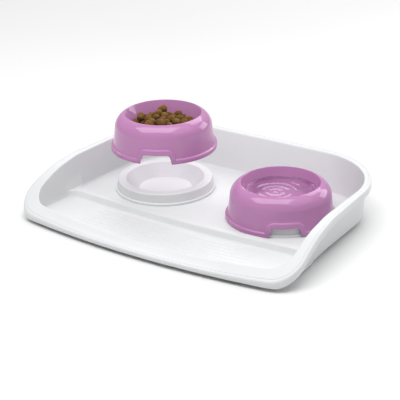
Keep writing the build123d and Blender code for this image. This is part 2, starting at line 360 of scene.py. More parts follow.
def revolved(profile, x, y, around):
    """Rings of points about an upright axis, one for each radius and height of a profile."""
    profile = np.asarray(profile, float)
    radius = profile[:, :1]
    ring = np.stack([
        x + radius * np.cos(around),
        y + radius * np.sin(around),
        np.repeat(profile[:, 1:], len(around), axis=1),
    ], axis=-1)
    return list(ring)


def bend(corner_before, corner, corner_after, radius, steps):
    """Points of a round of the given radius that is tangent to both sides of a corner."""
    before, at, after = (np.asarray(p, float) for p in (corner_before, corner, corner_after))
    to_before = (before - at) / np.linalg.norm(before - at)
    to_after = (after - at) / np.linalg.norm(after - at)
    half = 0.5 * math.acos(float(np.clip(to_before @ to_after, -1, 1)))
    between = (to_before + to_after) / np.linalg.norm(to_before + to_after)
    centre = at + between * radius / math.sin(half)
    start = at + to_before * radius / math.tan(half) - centre
    end = at + to_after * radius / math.tan(half) - centre
    share = np.linspace(0, 1, steps)[:, None]
    turned = start * (1 - share) + end * share
    return centre + turned / np.linalg.norm(turned, axis=1, keepdims=True) * radius


def arc_through(first, middle, last, steps):
    """Points of the circular arc that runs through three points."""
    a, b, c = (np.asarray(p, float) for p in (first, middle, last))
    sides = 2 * np.array([b - a, c - a])
    centre = np.linalg.solve(sides, np.array([b @ b - a @ a, c @ c - a @ a]))
    turn = np.unwrap(np.arctan2(*(np.array([a, b, c]) - centre).T[::-1]))
    sweep = np.linspace(turn[0], turn[2], steps)
    return centre + np.linalg.norm(a - centre) * np.column_stack([np.cos(sweep), np.sin(sweep)])


def swing(middle, first, last, steps):
    """Points of the short arc about a middle from one place to another."""
    turn = [math.atan2(place[1] - middle[1], place[0] - middle[0]) for place in (first, last)]
    sweep = np.linspace(*np.unwrap(turn), steps)
    return middle + np.linalg.norm(first - middle) * np.column_stack([np.cos(sweep), np.sin(sweep)])


def round_between(a, b, centre, circle, radius, inside, far):
    """Middle of a round between a line and a circle, and the places where it touches the two.

    The middle lies one radius to the left of the line from a to b, and one radius inside or outside the
    circle. Of two such places, far takes the later.
    """
    along = (b - a) / np.linalg.norm(b - a)
    across = np.array([-along[1], along[0]])
    start = a + across * radius - centre
    reach = circle - radius if inside else circle + radius
    half = start @ along
    root = math.sqrt(half * half - start @ start + reach * reach)
    middle = start + along * (-half + (root if far else -root)) + centre
    touch = centre + (middle - centre) / np.linalg.norm(middle - centre) * circle
    return middle, middle - across * radius, touch


def notch_height(aside, outset):
    """Height of a finger notch's outline, grown by an outset, over a place aside of its middle.

    The outline leans in from its foot to its rounded top; outside it the height is far below the foot.
    """
    bottom = NOTCH_BOTTOM + outset
    top = NOTCH_TOP + outset
    low = -outset
    high = NOTCH_HEIGHT + outset
    rounded = bend((bottom, low), (top, high), (0, high), NOTCH_CORNER + outset, 24)
    outline = np.vstack([[(bottom, low)], rounded, [(0, high)]])
    return np.interp(np.abs(aside), outline[::-1, 0], outline[::-1, 1], right=-1e3)


def bowl_around(turn):
    """Angles round a bowl, close together beside the steep sides of its two finger notches."""
    first, last = NOTCH_SIDES
    wide = np.arange(0, 180, BOWL_STEP)
    near = np.arange(first, last + NOTCH_STEP, NOTCH_STEP)
    half = np.unique(np.concatenate([wide, near, 180 - near]))
    return np.radians(np.concatenate([half, half + 180])) + turn - QUARTER_TURN


def bowl_surface(name, centre_x, base, turn):
    """One bowl: a profile carried round the bowl's axis, from the cup's floor to the hollow below.

    Each row gives a radius and a height at every angle. The foot rises over the two notches, and the
    band's top rises over their frames.
    """
    around = bowl_around(turn)
    facing = around - turn + QUARTER_TURN
    count = len(around)

    def level(radius, height):
        return np.full(count, float(radius)), np.full(count, float(height))

    def frame_top(radius, outset):
        aside = radius * np.sin(facing)
        return np.maximum(BAND_HEIGHT + outset - NOTCH_FRAME, notch_height(aside, outset))

    def foot(radius, outset):
        return np.maximum(outset, notch_height(radius * np.sin(facing), outset))

    def body(height):
        share = (height - BAND_HEIGHT) / (SHOULDER[1] - BAND_HEIGHT)
        return BODY_BASE + (SHOULDER[0] - BODY_BASE) * share

    def face(height):
        return BAND_RADIUS - FRAME_LEAN * np.maximum(height - BAND_HEIGHT, 0)

    # Floor and wall of the cup, its lip and the shoulder
    lip = np.array([CUP_MOUTH, BOWL_HEIGHT])
    shoulder = arc_through(SHOULDER, SHOULDER_MID, lip, 16)
    cup_corner = bend(lip, CUP_FLOOR, (0, CUP_FLOOR[1]), CUP_CORNER, 10)[::-1]
    lip_round = bend(CUP_FLOOR, lip, shoulder[-3], CUP_LIP_ROUND, 7)
    slope = np.linspace(cup_corner[-1], lip_round[0], 10)[1:-1]
    shoulder_end = 0.2 * shoulder[1] + 0.8 * shoulder[0]
    floor = [(ring, CUP_FLOOR[1]) for ring in CUP_FLOOR_RINGS]
    profile = [*floor, *cup_corner, *slope, *lip_round, *shoulder[-4:0:-1], shoulder_end]
    rows = [level(*place) for place in profile]

    # Skirt, the ledge over the band and the notch frames, and the band down to its foot
    top_edge = frame_top(BODY_BASE, NOTCH_FRAME + LEDGE_FALL + SKIRT_END)
    for share in SKIRT_SHARES:
        height = SHOULDER[1] * (1 - share) + top_edge * share
        rows.append((body(height), height))
    for slide, rise in LEDGE_ROWS:
        height = frame_top(BAND_RADIUS, NOTCH_FRAME + LEDGE_FALL + rise)
        rows.append((body(height) * (1 - slide) + face(height) * slide, height))
    for inset, drop in BAND_EDGE_ROWS:
        height = frame_top(BAND_RADIUS, NOTCH_FRAME - drop)
        rows.append((face(height) - inset, height))
    for inset, rise in BAND_FOOT_ROWS:
        height = foot(BAND_RADIUS - inset, rise)
        rows.append((face(height) - inset, height))

    # Hollow between the skirt and the cup
    inner_foot = rows[-1][1]
    height = np.maximum(BAND_HEIGHT - BOWL_WALL, inner_foot + HOLLOW_RISES[0])
    rows.append((face(height) - BOWL_WALL, height))
    height = np.maximum(BAND_HEIGHT, inner_foot + HOLLOW_RISES[1])
    rows.append((np.full(count, BODY_BASE - BOWL_WALL), height))
    run = BOWL_WALL * math.hypot(1, CUP_LEAN)
    under_lip = (CUP_MOUTH + run - CUP_LEAN * CUP_LIP_DEPTH, BOWL_HEIGHT - CUP_LIP_DEPTH)
    under_cup = (CUP_FLOOR[0] + run - CUP_LEAN * BOWL_WALL, CUP_FLOOR[1] - BOWL_WALL)
    hollow = [
        (SHOULDER[0] - BOWL_WALL, SHOULDER[1]),
        (SHOULDER_MID[0] - BOWL_WALL, SHOULDER_MID[1] - BOWL_WALL / 2),
        under_lip,
        *bend(under_lip, under_cup, (0, under_cup[1]), CUP_CORNER + BOWL_WALL, 8),
        (UNDER_CUP_RING, under_cup[1]),
    ]
    rows += [level(*place) for place in hollow]

    radius = np.array([row[0] for row in rows])
    height = np.array([row[1] for row in rows])
    rings = np.stack([
        centre_x + radius * np.cos(around),
        SEAT_Y + radius * np.sin(around),
        base + height,
    ], axis=-1)
    cup_middle = (centre_x, SEAT_Y, base + CUP_FLOOR[1])
    hollow_middle = (centre_x, SEAT_Y, base + under_cup[1])
    return closed_skin(name, rings, cup_middle, hollow_middle, smooth_angle=40)


def half_outline(outline, outset, rear_from, front_to):
    """Right half of a rounded outline grown by an even outset, from the back's middle to the front's.

    It is a wide bow, a round, a straight side in two stretches, a round and a wide bow. The shares say
    where along the side the rear stretch ends and the front stretch begins, counted from the front.
    """
    front_bow = outline.front_bow
    back_bow = outline.back_bow
    half_front = outline.half_front + outset
    half_back = outline.half_back + outset
    front = outline.front - outset
    back = outline.back + outset
    a = np.array([half_front, front + front_bow])
    b = np.array([half_back, back - back_bow])
    front_radius = (half_front**2 + front_bow**2) / (2 * front_bow)
    back_radius = (half_back**2 + back_bow**2) / (2 * back_bow)
    front_centre = np.array([0.0, front + front_radius])
    back_centre = np.array([0.0, back - back_radius])
    back_middle, back_side, back_touch = round_between(
        a, b, back_centre, back_radius, outline.back_round + outset, inside=True, far=True,
    )
    front_middle, front_side, front_touch = round_between(
        a, b, front_centre, front_radius, outline.front_round + outset, inside=True, far=False,
    )

    def side(shares):
        return front_side + (back_side - front_side) * np.asarray(shares)[:, None]

    return np.vstack([
        swing(back_centre, np.array([0.0, back]), back_touch, BACK_BOW),
        swing(back_middle, back_touch, back_side, BACK_ROUND + 1)[1:],
        side(np.linspace(1, rear_from, SIDE_REAR + 1)[1:]),
        side(np.linspace(front_to, 0, SIDE_FRONT)),
        swing(front_middle, front_side, front_touch, FRONT_ROUND + 1)[1:],
        swing(front_centre, front_touch, np.array([0.0, front]), FRONT_BOW + 1)[1:],
    ])


def rim_half(inset, rear_from, front_to):
    """Right half of the rim's outer edge, drawn in by an even inset."""
    return half_outline(RIM, -inset, rear_from, front_to)


def basin_half(level, outset, rear_from, front_to):
    """Right half of the flared basin at a level for each point, grown by an outset.

    Each point lies on the straight line between the outlines at the floor and at the high rim.
    """
    at_floor = half_outline(BASIN_FLOOR, outset, rear_from, front_to)
    at_rim = half_outline(BASIN_MOUTH, outset, rear_from, front_to)
    share = (np.broadcast_to(level, len(at_floor)) - FLOOR_TOP) / RIM_RISE
    return at_floor + (at_rim - at_floor) * share[:, None]


def rim_height(y):
    """Height of the rim from front to back: level lip, hollow round, slope, crown and level back."""
    lip_end = FRONT_EDGE + LIP_RADIUS * math.sin(FALL)
    drop = (CROWN_RADIUS + LIP_RADIUS) * (1 - math.cos(FALL))
    straight = (RIM_TOP - LIP_TOP - drop) / math.sin(FALL)
    slope_end = lip_end + straight * math.cos(FALL)
    crown_end = slope_end + CROWN_RADIUS * math.sin(FALL)
    lip_rise = np.clip(y - FRONT_EDGE, 0, LIP_RADIUS)
    hollow = LIP_TOP + LIP_RADIUS - np.sqrt(LIP_RADIUS**2 - lip_rise**2)
    slope = LIP_TOP + LIP_RADIUS * (1 - math.cos(FALL)) + (y - lip_end) * math.tan(FALL)
    crown_run = np.clip(crown_end - y, 0, CROWN_RADIUS)
    crown = RIM_TOP - CROWN_RADIUS + np.sqrt(CROWN_RADIUS**2 - crown_run**2)
    return np.select([y < lip_end, y < slope_end], [hollow, slope], crown)


def meeting_height(outset, drop, rear_from, front_to):
    """Height where the basin's wall meets the rim's face, lowered by a drop, found by halving."""
    low = np.full(REAR_PART + SIDE_FRONT + FRONT_ROUND + FRONT_BOW, REAR_BOTTOM)
    high = np.full_like(low, RIM_TOP)
    for _ in range(40):
        middle = (low + high) / 2
        above = middle > rim_height(basin_half(middle, outset, rear_from, front_to)[:, 1]) - drop
        high = np.where(above, middle, high)
        low = np.where(above, low, middle)
    return (low + high) / 2


def mirrored(half):
    """The left half of an outline, in reverse, from the points of its right half."""
    return half[::-1] * np.array([-1, 1, 1])


def lifted(flat, level):
    """Points of a flat outline at a level for each of them."""
    return np.column_stack([flat, np.broadcast_to(level, len(flat))])


def whole(half):
    """The closed outline from its right half, whose ends lie on the middle line."""
    return np.vstack([half, mirrored(half)[1:-1]])


def front_loop(wall, dam):
    """The closed outline in front of the dam, from the right halves of the wall and of the dam's line."""
    return np.vstack([wall, mirrored(wall)[1:], mirrored(dam), dam[1:]])


def foot_round(level, floor, radius):
    """How far a wall's foot has curved in at a level, for a round of the given radius on a floor."""
    rise = np.clip(radius - (level - floor), 0, radius)
    return radius - np.sqrt(radius**2 - rise**2)


def side_share(level, outset, circle, radius, inside):
    """Share along the basin's side where the dam leaves it, and the right half of the dam's line.

    The line is a circle about the dam's centre, joined to the side by a round of the given radius.
    """
    ends = basin_half(level, outset, 1.0, 0.0)
    a = ends[REAR_PART]
    b = ends[BACK_BOW + BACK_ROUND - 1]
    centre = np.array([0.0, DAM_CENTRE])
    middle, on_side, on_circle = round_between(a, b, centre, circle, radius, inside, far=False)
    share = (on_side - a) @ (b - a) / ((b - a) @ (b - a))
    bow = swing(centre, np.array([0.0, DAM_CENTRE - circle]), on_circle, DAM_BOW)
    corner = swing(middle, on_circle, on_side, DAM_ROUND + 2)[1:-1]
    return share, np.vstack([bow, corner])


def strip_outlines(profile, top):
    """Outlines of the pocket over the front strip, from the dam's crest down to the strip.

    Each row takes a radius of the dam and a level from the profile, draws the wall's foot in, and joins
    wall and dam with a round. Along the low front lip the levels are drawn together.
    """
    rows = []
    for circle, level in profile:
        inset = float(foot_round(level, STRIP_TOP, STRIP_WALL_ROUND))
        share, dam = side_share(level, -inset, circle, STRIP_CORNER, False)
        levels = STRIP_TOP + (level - STRIP_TOP) * (top[REAR_PART:] - STRIP_TOP) / (DAM_CREST - STRIP_TOP)
        full = np.concatenate([np.full(REAR_PART, level), levels])
        drawn_in = foot_round(levels, STRIP_TOP, STRIP_WALL_ROUND) / STRIP_WALL_ROUND
        outer = basin_half(full, 0.0, SPARE_REAR, share)[REAR_PART:]
        inner = basin_half(full, -STRIP_WALL_ROUND, SPARE_REAR, share)[REAR_PART:]
        wall = lifted(outer + (inner - outer) * drawn_in[:, None], levels)
        wall[0, :2] = basin_half(level, -inset, SPARE_REAR, share)[REAR_PART]
        rows.append(front_loop(wall, lifted(dam, level)))
    return rows


def rear_outlines(profile):
    """Outlines of the pocket over the rear floor, made the same way from the crest down to the floor."""
    rows = []
    for circle, level in profile:
        inset = float(foot_round(level, FLOOR_TOP, REAR_WALL_ROUND))
        share, dam = side_share(level, -inset, circle, REAR_CORNER, True)
        wall = lifted(basin_half(level, -inset, share, SPARE_FRONT)[:REAR_PART], level)
        dam = lifted(dam, level)
        rows.append(np.vstack([mirrored(wall), wall[1:], dam[::-1], mirrored(dam)[::-1][1:]]))
    return rows


def trough_outlines():
    """Outlines of the trough below the front strip, from the rear's underside down round its foot."""
    start = SHELL_BOTTOM + TROUGH_ROUND
    levels = [(REAR_BOTTOM, 0.0), (start, 0.0)]
    for turn in np.linspace(0, QUARTER_TURN, ROUND_STEPS)[1:]:
        drawn_in = TROUGH_ROUND - TROUGH_ROUND * math.cos(turn)
        levels.append((start - TROUGH_ROUND * math.sin(turn), drawn_in))
    rows = []
    for level, inset in levels:
        share, dam = side_share(level, WALL - inset, DAM_FRONT + inset, TROUGH_CORNER - inset, False)
        wall = lifted(basin_half(level, WALL - inset, SPARE_REAR, share)[REAR_PART:], level)
        rows.append(front_loop(wall, lifted(dam, level)))
    return rows


def rib_patch(number):
    """One rib: a low arc on a slight step, carried along the front's bow, and its border.

    Its height falls with the square of the place across it, and it sinks into the strip at its ends.
    """
    place = RIB_FIRST - number * RIB_PITCH
    half_turn = math.asin(RIB_HALF_LENGTH / RIB_FIRST)
    along = np.linspace(-half_turn, half_turn, 49)
    to_end = np.clip((half_turn - np.abs(along)) * place / RIB_SINK, 0, 1)
    across = np.concatenate([[1], np.linspace(RIB_TOP_EDGE, -RIB_TOP_EDGE, 9), [-1]])[:, None]
    height = (RIB_RISE - RIB_STEP) * (1 - across**2) + RIB_STEP * (np.abs(across) < 1)
    radius = place + RIB_HALF_WIDTH * across
    points = np.stack([
        radius * np.sin(along),
        RIB_CENTRE - radius * np.cos(along),
        STRIP_TOP + height * np.sin(to_end * QUARTER_TURN),
    ], axis=-1)
    border = np.vstack([points[0], points[1:, -1], points[-1, -2::-1], points[-2:0:-1, 0]])
    return (points.reshape(-1, 3), grid_faces(len(across), len(along), closed=False)), border


def seat_patches():
    """Patches of the seats, of the hollows below them and of the back feet's bosses, and their borders.

    The borders come as two lists, those on the rear floor and those on the underside.
    """
    seat_around = full_circle(SEAT_STEP)
    boss_around = full_circle(BOSS_STEP)
    rounds = [bend(*SEAT_CORNERS[k:k + 3], *how) for k, how in enumerate(SEAT_ROUNDS)]
    seat_profile = np.vstack([SEAT_CORNERS[:1], *rounds, [DISH_INNER]])
    patches = []
    on_floor = []
    on_underside = []
    for x, foot_x in ((-SEAT_X, -FOOT_X), (SEAT_X, FOOT_X)):
        seat = revolved(seat_profile, x, SEAT_Y, seat_around)
        hollow = revolved(HOLLOW_PROFILE, x, SEAT_Y, seat_around)
        boss = revolved(BOSS_PROFILE, foot_x, FOOT_BACK_Y, boss_around)
        patches.append(capped(seat, (x, SEAT_Y, FLOOR_TOP)))
        patches.append(capped(hollow, (x, SEAT_Y, REAR_BOTTOM), flip=True))
        patches.append(capped(boss, (foot_x, FOOT_BACK_Y, SHELL_BOTTOM), flip=True))
        on_floor.append(seat[0])
        on_underside += [hollow[0], boss[0]]
    return patches, on_floor, on_underside


def tray_surface():
    """The whole tray as one closed skin.

    A half section is carried round the outline: up the basin's wall, over its rounded mouth, across the
    land with its groove and bead, down and up the turned edge, and down the outer wall. Two pockets, two
    seats, ribs and the trough below close it.
    """
    front_top = (DAM_FRONT, DAM_CREST)
    front_foot = (DAM_FOOT, STRIP_TOP)
    rear_top = (DAM_REAR, DAM_CREST)
    rear_foot = (DAM_REAR_FOOT, FLOOR_TOP)
    strip_profile = np.vstack([
        bend(rear_top, front_top, front_foot, *DAM_FRONT_ROUNDS[0]),
        bend(front_top, front_foot, (DAM_FOOT + DAM_RUN, STRIP_TOP), *DAM_FRONT_ROUNDS[1]),
    ])
    rear_profile = np.vstack([
        bend(front_top, rear_top, rear_foot, *DAM_REAR_ROUNDS[0]),
        bend(rear_top, rear_foot, (DAM_REAR_FOOT - DAM_RUN, FLOOR_TOP), *DAM_REAR_ROUNDS[1]),
    ])
    front_share, front_dam = side_share(DAM_CREST, 0.0, strip_profile[0, 0], STRIP_CORNER, False)
    rear_share, rear_dam = side_share(DAM_CREST, 0.0, rear_profile[0, 0], REAR_CORNER, True)
    mouth = meeting_height(0.0, 0.0, rear_share, front_share)
    top = np.minimum(DAM_CREST, mouth - DAM_BELOW_MOUTH)
    top[:REAR_PART] = DAM_CREST

    def on_wall(level):
        return lifted(basin_half(level, 0.0, rear_share, front_share), level)

    def on_rim(inset, drop):
        flat = rim_half(inset, rear_share, front_share)
        return lifted(flat, rim_height(flat[:, 1]) - drop)

    # Wall of the basin, its rounded mouth and the land of the rim
    edge = on_wall(mouth)
    half_rows = [on_wall(top), on_wall(top + 0.5 * (mouth - MOUTH_DROP - top))]
    land_end = rim_half(GROOVE_INSET + GROOVE_WIDTH, rear_share, front_share)
    outward = (land_end - edge[:, :2]) / np.linalg.norm(land_end - edge[:, :2], axis=1, keepdims=True)
    land_start = edge[:, :2] + MOUTH_RUN * outward
    below = on_wall(mouth - MOUTH_DROP)
    beside = lifted(land_start, rim_height(land_start[:, 1]))
    for share in np.linspace(0, 1, MOUTH_STEPS):
        rest = 1 - share
        half_rows.append(rest**2 * below + 2 * share * rest * edge + share * share * beside)
    for share in np.linspace(0, 1, LAND_STEPS)[1:]:
        flat = land_start + (land_end - land_start) * share
        half_rows.append(lifted(flat, rim_height(flat[:, 1])))

    # Groove, bead and turned-down edge
    half_rows += [on_rim(inset, drop) for inset, drop in GROOVE_ROWS + BEAD_ROWS]
    for inset, rise in EDGE_FOOT_ROWS:
        flat = rim_half(inset, rear_share, front_share)
        foot = np.maximum(rim_height(flat[:, 1]) - SKIRT_HEIGHT, SKIRT_CLEARANCE)
        half_rows.append(lifted(flat, foot + rise))

    # Under the rim, down the outer wall and round its foot
    trough_share, trough_dam = side_share(REAR_BOTTOM, WALL, DAM_FRONT, TROUGH_CORNER, False)
    under = rim_half(WALL, rear_share, trough_share)
    outer_top = meeting_height(WALL, WALL, rear_share, trough_share)
    outer = basin_half(outer_top, WALL, rear_share, trough_share)
    for share in np.linspace(0, 1, UNDER_STEPS):
        flat = under + (outer - under) * share
        half_rows.append(lifted(flat, rim_height(flat[:, 1]) - WALL))
    for turn in np.linspace(0, QUARTER_TURN, ROUND_STEPS):
        level = REAR_BOTTOM + BASE_ROUND * (1 - math.sin(turn))
        drawn_in = BASE_ROUND * (1 - math.cos(turn))
        rear = basin_half(level, WALL - drawn_in, rear_share, trough_share)[:REAR_PART]
        front = basin_half(level, WALL, rear_share, trough_share)[REAR_PART:]
        half_rows.append(lifted(np.vstack([rear, front]), level))
    patches = [stacked([whole(half) for half in half_rows])]

    # Pockets of the basin, the trough below and the crest between the pockets
    strip_rows = strip_outlines(strip_profile, top)
    rear_rows = rear_outlines(rear_profile)
    trough_rows = trough_outlines()
    patches += [stacked(strip_rows, flip=True), stacked(rear_rows, flip=True), stacked(trough_rows)]
    ends = half_rows[0][REAR_PART - 1:REAR_PART + 1]
    crest = np.vstack([lifted(rear_dam, DAM_CREST), ends, lifted(front_dam, DAM_CREST)[::-1]])
    patches.append(fill_flat([whole(crest)], up=True))

    # Seats and ribs, the floors round them, and the underside round the hollows and bosses
    seats, on_floor, on_underside = seat_patches()
    ribs, on_strip = zip(*[rib_patch(number) for number in range(RIB_COUNT)])
    under_edge = np.vstack([half_rows[-1][:REAR_PART + 1], lifted(trough_dam, REAR_BOTTOM)[::-1]])
    patches += [
        *seats,
        *ribs,
        fill_flat([strip_rows[-1], *on_strip], up=True),
        fill_flat([rear_rows[-1], *on_floor], up=True),
        fill_flat([whole(under_edge), *on_underside], up=False),
        fill_flat([trough_rows[-1]], up=False),
    ]
    return welded("tray_shell", patches, smooth_angle=32)


def foot_surface(name, x, y):
    """One rubber pad: a low round profile with softened edges and two shallow rings in its sole."""
    upper_edge = (PAD_RADIUS, SHELL_BOTTOM)
    lower_edge = (PAD_RADIUS, 0)
    profile = np.vstack([
        [(PAD_INNER, SHELL_BOTTOM)],
        bend((0, SHELL_BOTTOM), upper_edge, lower_edge, *PAD_ROUNDS[0]),
        bend(upper_edge, lower_edge, (0, 0), *PAD_ROUNDS[1]),
        [(ring - inset, depth) for ring in PAD_RINGS for inset, depth in PAD_RING_ROWS],
    ])
    rings = revolved(profile, x, y, full_circle(PAD_STEP))
    return closed_skin(name, rings, (x, y, SHELL_BOTTOM), (x, y, 0.0), smooth_angle=40)


def cup_radius(height):
    """Radius of the cup's sloping wall at a height above the bowl's foot."""
    return CUP_FLOOR[0] + CUP_LEAN * (height - CUP_FLOOR[1])


def settled_heap(random):
    """Middles of the pellets, above the middle of the bowl's foot.

    They start scattered over the cup. At each step, two that are too near move apart along the line
    between them, all sink a little and draw in, and the cup's wall and floor hold them back.
    """
    turn = random.uniform(0, FULL_TURN, PELLET_COUNT)
    reach = HEAP_REACH * np.sqrt(random.uniform(0, 1, PELLET_COUNT))
    height = random.uniform(*HEAP_HEIGHTS, PELLET_COUNT)
    middle = np.column_stack([reach * np.cos(turn), reach * np.sin(turn), height])
    for _ in range(SETTLE_STEPS):
        apart = middle[:, None] - middle[None]
        gap = np.linalg.norm(apart, axis=-1) + np.eye(PELLET_COUNT) * PELLET_SPACING
        push = np.clip(PELLET_SPACING - gap, 0, None) / gap
        middle = middle + SETTLE_PUSH * (apart * push[..., None]).sum(axis=1)
        middle[:, 2] -= SETTLE_SINK
        middle[:, :2] *= SETTLE_DRAW
        radius = np.linalg.norm(middle[:, :2], axis=1)
        room = cup_radius(middle[:, 2]) - PELLET_SPACING / 2
        middle[:, :2] *= np.minimum(1, room / np.maximum(radius, 1e-6))[:, None]
        middle[:, 2] = np.maximum(middle[:, 2], CUP_FLOOR[1] + PELLET_SPACING / 2)
    return middle


def turning(quarters):
    """Turning matrices from rows of four numbers, each row taken as a unit quaternion."""
    w, x, y, z = (quarters / np.linalg.norm(quarters, axis=1, keepdims=True)).T
    none = np.zeros_like(w)
    cross = np.moveaxis(np.array([[none, -z, y], [z, none, -x], [-y, x, none]]), 2, 0)
    return np.eye(3) + 2 * w[:, None, None] * cross + 2 * cross @ cross


def open_to_light(spots, middles):
    """How open each spot of a heap lies, from how near and how high above it the other pellets are."""
    # The share found here paints shade into the dry food's colour, darker where pellets crowd near and
    # above
    towards = middles[None] - spots[:, None]
    gap = np.linalg.norm(towards, axis=-1)
    near = np.clip(1 - (gap - PELLET_RADIUS) / SHADE_REACH, 0, 1)
    cover = near * (SHADE_BESIDE + (1 - SHADE_BESIDE) * np.clip(towards[..., 2] / gap, 0, 1))
    own = np.take_along_axis(cover, gap.argmin(axis=1)[:, None], axis=1)[:, 0]
    return np.clip(SHADE_START - SHADE_STRENGTH * (cover.sum(axis=1) - own), 0, 1)


def dry_food_heap(name, centre_x, base):
    """A heap of round pellets in one mesh, worked out together as pellet by row by column.

    A pellet is a flattened ball whose sides are fuller than a circle. Two waves round it, each with its
    own phase, make it lumpy, and each pellet has its own size and turn. The last one stands on edge, with
    a flat side to the camera. The cup's floor and wall press flat what would reach into them.
    """
    random = np.random.default_rng(PELLET_SEED)
    middle = np.vstack([settled_heap(random), [PROUD_PELLET]])
    count = len(middle)
    around = np.linspace(0, FULL_TURN, PELLET_SIDES, endpoint=False)
    rise = np.linspace(-1, 1, PELLET_ROWS + 2)[:, None] * math.pi / 2
    size = random.uniform(*PELLET_SIZES, (count, 1, 1))
    phase = random.uniform(0, FULL_TURN, (2, count, 1, 1))
    wide_wave = WIDE_LUMPS * np.sin(2 * around + phase[0]) * np.cos(rise)
    fine_wave = FINE_LUMPS * np.sin(3 * around + phase[1] + 2 * rise)
    lump = 1 + wide_wave + fine_wave
    full = np.cos(rise)**PELLET_FULLNESS
    flat = np.sign(np.sin(rise)) * np.abs(np.sin(rise))**PELLET_FLATNESS
    pellet = np.stack([
        PELLET_RADIUS * size * lump * full * np.cos(around),
        PELLET_RADIUS * PELLET_NARROWING * size * lump * full * np.sin(around),
        PELLET_THICK / 2 * size * lump * flat * np.ones_like(around),
    ], axis=-1)
    pellet[:, 0] = pellet[:, 0].mean(axis=1, keepdims=True)
    pellet[:, -1] = pellet[:, -1].mean(axis=1, keepdims=True)
    turn = turning(random.normal(size=(count, 4)) * np.array([1, PELLET_TILT, PELLET_TILT, 1]))
    turn[-1] = np.column_stack([ACROSS_CAMERA, UPRIGHT, TOWARDS_CAMERA])
    points = np.einsum("pij,prcj->prci", turn, pellet) + middle[:, None, None]
    points[..., 2] = np.maximum(points[..., 2], CUP_FLOOR[1] + PELLET_CLEARANCE)
    reach = np.linalg.norm(points[..., :2], axis=-1)
    points[..., :2] *= np.minimum(1, (cup_radius(points[..., 2]) - PELLET_CLEARANCE) / reach)[..., None]
    place = np.array([centre_x, SEAT_Y, base])
    heap = welded(name, [stacked(rows) for rows in points + place], smooth_angle=60)
    spots = np.empty(3 * len(heap.data.vertices))
    heap.data.vertices.foreach_get("co", spots)
    # How open each spot lies to light, kept on the mesh to paint shade into the colour between the pellets
    light = open_to_light(spots.reshape(-1, 3) / MM, middle + place)
    heap.data.attributes.new("open_to_light", "FLOAT", "POINT").data.foreach_set("value", light)
    return heap


def water_body(name, centre_x, base):
    """The water in a cup: a rippled surface, and below it the cup's profile, let a little into its wall.

    A ripple that fades outwards from its middle and a wave across it die away at the wall, where the
    water climbs a little.
    """
    around = full_circle(WATER_STEP)
    edge = float(cup_radius(WATER_LEVEL)) + WATER_SINK
    radius = np.concatenate([np.linspace(0.03, 0.95, 40), np.linspace(0.958, 1, 8)])[:, None] * edge
    x = radius * np.cos(around)
    y = radius * np.sin(around)
    away = np.hypot(x - RIPPLE_MIDDLE[0], y - RIPPLE_MIDDLE[1])
    calm = np.clip((edge - radius) / CALM_WIDTH, 0, 1)
    wave = RIPPLE_HEIGHT * np.cos(FULL_TURN * away / RIPPLE_LENGTH) * np.exp(-away / RIPPLE_FADE)
    cross = CROSS_HEIGHT * np.sin(x / 5.1 + 1.2 * np.sin(y / 9.0)) * np.cos(y / 6.3)
    climb = MENISCUS * np.exp((radius - edge) / MENISCUS_WIDTH)
    surface = np.stack([x, y, WATER_LEVEL + calm * (wave + cross) + climb], axis=-1)
    low = CUP_FLOOR[1] - WATER_SINK
    foot = (float(cup_radius(low)) + WATER_SINK, low)
    corner = bend((edge, WATER_LEVEL), foot, (0, low), CUP_CORNER, 10)
    below = revolved(np.vstack([corner, [(CUP_FLOOR_RINGS[0], low)]]), 0.0, 0.0, around)
    place = np.array([centre_x, SEAT_Y, base])
    top = surface[0].mean(axis=0) + place
    bottom = np.array([0.0, 0.0, low]) + place
    return closed_skin(name, np.concatenate([surface, below]) + place, top, bottom, smooth_angle=50)


class Look:
    """A material with its principled shader, whose textures lie in the piece's own coordinates."""

    def __init__(self, name):
        self.material = bpy.data.materials.new(name)
        self.material.use_nodes = True
        self.nodes = self.material.node_tree.nodes
        self.place = self.nodes.new("ShaderNodeTexCoord").outputs["Object"]

    def feed(self, node, sockets):
        """Each input of a node is joined to another node's output or set to a value."""
        for socket, value in sockets.items():
            if isinstance(value, bpy.types.NodeSocket):
                self.material.node_tree.links.new(value, node.inputs[socket])
            else:
                node.inputs[socket].default_value = value
        return node

    def noise(self, scale, detail, roughness=0.5):
        """The strength of a noise texture."""
        texture = self.nodes.new("ShaderNodeTexNoise")
        sockets = {"Vector": self.place, "Scale": scale, "Detail": detail, "Roughness": roughness}
        return self.feed(texture, sockets).outputs["Fac"]

    def bump(self, height, strength, distance):
        """A normal that makes the surface seem to rise and fall with a height."""
        sockets = {"Height": height, "Strength": strength, "Distance": distance}
        return self.feed(self.nodes.new("ShaderNodeBump"), sockets).outputs["Normal"]

    def colour(self, factor, low, high, start, end):
        """A colour that runs from one shade to another as a factor runs from start to end."""
        ramp = self.nodes.new("ShaderNodeValToRGB")
        for element, position, shade in zip(ramp.color_ramp.elements, (start, end), (low, high)):
            element.position = position
            element.color = (*shade, 1)
        return self.feed(ramp, {"Fac": factor}).outputs["Color"]

    def value(self, factor, low, high):
        """A number that runs from low to high as a factor runs from 0 to 1."""
        sockets = {"Value": factor, "To Min": low, "To Max": high}
        return self.feed(self.nodes.new("ShaderNodeMapRange"), sockets).outputs["Result"]

    def shaded(self, sockets):
        """The material, with the inputs of its shader fed."""
        self.feed(self.nodes["Principled BSDF"], sockets)
        return self.material


